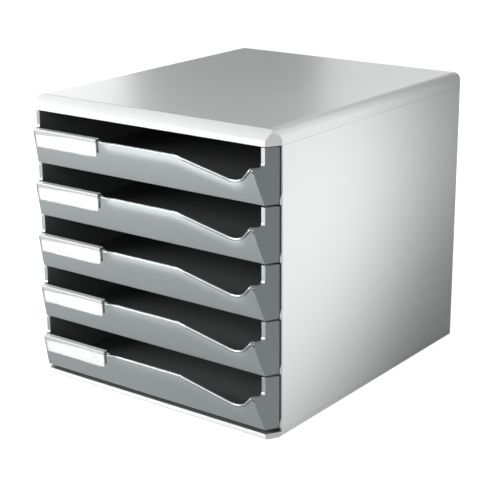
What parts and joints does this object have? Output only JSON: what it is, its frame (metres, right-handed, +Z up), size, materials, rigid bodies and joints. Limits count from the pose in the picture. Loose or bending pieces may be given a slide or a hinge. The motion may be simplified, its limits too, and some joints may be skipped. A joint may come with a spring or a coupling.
{
  "type": "desktop filing drawer unit",
  "caption": "Free-standing desktop filing unit: a smooth moulded casing with stacked open-fronted sliding drawers, each with a leaning wave-cut front and a clear-covered label.",
  "frame": {"origin": "on the desk, under the middle of the whole outline with the drawers shut", "axes": "+X to the right seen from the front, +Y from the drawer fronts to the back, +Z up"},
  "size_m": [0.291, 0.352, 0.291],
  "materials": {
    "shell": "light grey moulded plastic, fine satin gloss",
    "front": "mid grey moulded plastic, satin gloss",
    "tray": "charcoal moulded plastic, fine matt texture",
    "paper": "blank white card, matt",
    "clear_plastic": "clear polished plastic sheet",
    "foot_rubber": "dark grey soft rubber"
  },
  "bodies": {
    "casing": {"top_cover": "shell", "left_side_panel": "shell", "right_side_panel": "shell", "back_panel": "shell", "base_panel": "shell", "front_left_foot": "foot_rubber", "front_right_foot": "foot_rubber", "rear_left_foot": "foot_rubber", "rear_right_foot": "foot_rubber"},
    "drawer_1": {"drawer_tray_1": "tray", "drawer_front_1": "front", "label_card_1": "paper", "label_cover_1": "clear_plastic"},
    "drawer_2": {"drawer_tray_2": "tray", "drawer_front_2": "front", "label_card_2": "paper", "label_cover_2": "clear_plastic"},
    "drawer_3": {"drawer_tray_3": "tray", "drawer_front_3": "front", "label_card_3": "paper", "label_cover_3": "clear_plastic"},
    "drawer_4": {"drawer_tray_4": "tray", "drawer_front_4": "front", "label_card_4": "paper", "label_cover_4": "clear_plastic"},
    "drawer_5": {"drawer_tray_5": "tray", "drawer_front_5": "front", "label_card_5": "paper", "label_cover_5": "clear_plastic"}
  },
  "joints": [
    {"name": "drawer_1_slide", "type": "slide", "parent": "casing", "child": "drawer_1", "axis": [0, -1, 0], "range_m": [0, 0.25]},
    {"name": "drawer_2_slide", "type": "slide", "parent": "casing", "child": "drawer_2", "axis": [0, -1, 0], "range_m": [0, 0.25]},
    {"name": "drawer_3_slide", "type": "slide", "parent": "casing", "child": "drawer_3", "axis": [0, -1, 0], "range_m": [0, 0.25]},
    {"name": "drawer_4_slide", "type": "slide", "parent": "casing", "child": "drawer_4", "axis": [0, -1, 0], "range_m": [0, 0.25]},
    {"name": "drawer_5_slide", "type": "slide", "parent": "casing", "child": "drawer_5", "axis": [0, -1, 0], "range_m": [0, 0.25]}
  ]
}
